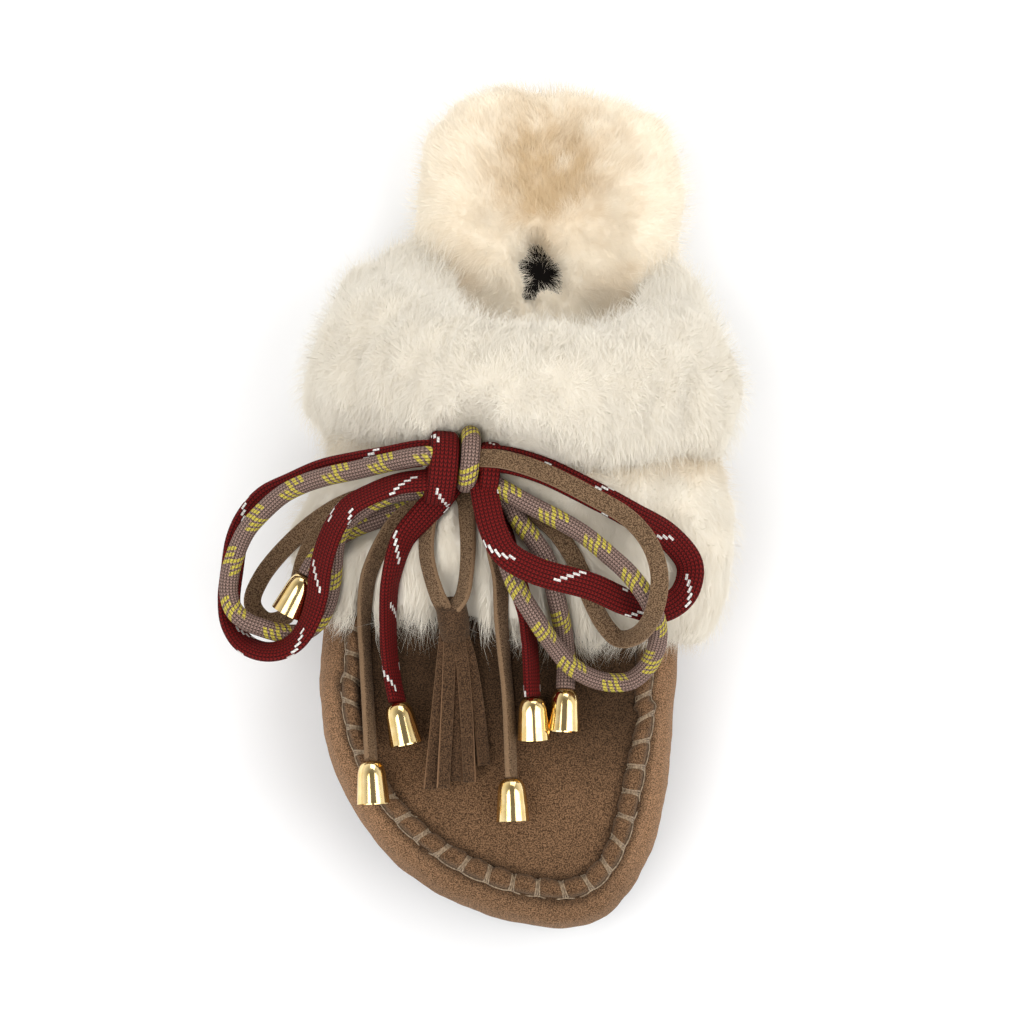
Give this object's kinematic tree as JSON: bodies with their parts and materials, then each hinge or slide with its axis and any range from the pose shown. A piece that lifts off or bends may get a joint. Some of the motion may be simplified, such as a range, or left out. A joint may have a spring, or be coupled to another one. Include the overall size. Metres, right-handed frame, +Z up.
{
  "type": "sheepskin clog",
  "caption": "Open-backed moccasin clog for a right foot, suede over a rubber sole, with a wool cuff, a folded wool tongue, a wool footbed and a bow of laces with bell ends and a tassel.",
  "frame": {"origin": "on the floor under the middle of the shoe's box, without the bow", "axes": "+Z up, +Y from the toe to the heel, +X towards the inner side of the foot"},
  "size_m": [0.1517, 0.2568, 0.102],
  "materials": {
    "rubber": "satin, smooth side with a rib",
    "lining_wool": "deep tan sheepskin wool",
    "patch": "plain matt black patch",
    "suede": "brushed taupe-brown suede",
    "wool": "deep cream sheepskin wool",
    "burgundy_lace": "flat woven lace with pale flecks",
    "taupe_lace": "round braided cord with yellow flecks",
    "thong": "cut suede thong",
    "tassel_suede": "cut suede strips",
    "bell_metal": "polished pale gold"
  },
  "bodies": {
    "root": {"outsole": "rubber", "footbed": "lining_wool", "heel_patch": "patch", "upper": "suede", "cuff": "wool", "tongue": "wool", "burgundy_knot": "burgundy_lace", "taupe_knot": "taupe_lace", "burgundy_tuck": "burgundy_lace", "burgundy_loop_left": "burgundy_lace", "taupe_loop_left": "taupe_lace", "thong_loop_left": "thong", "burgundy_loop_right": "burgundy_lace", "taupe_loop_right": "taupe_lace", "thong_loop_right": "thong", "burgundy_end_left": "burgundy_lace", "taupe_end_left": "taupe_lace", "thong_end_left": "thong", "burgundy_end_right": "burgundy_lace", "taupe_end_right": "taupe_lace", "thong_end_right": "thong", "burgundy_bell_left": "bell_metal", "taupe_bell_left": "bell_metal", "thong_bell_left": "bell_metal", "burgundy_bell_right": "bell_metal", "taupe_bell_right": "bell_metal", "thong_bell_right": "bell_metal", "thong_hanger": "thong", "tassel": "tassel_suede"}
  },
  "joints": []
}
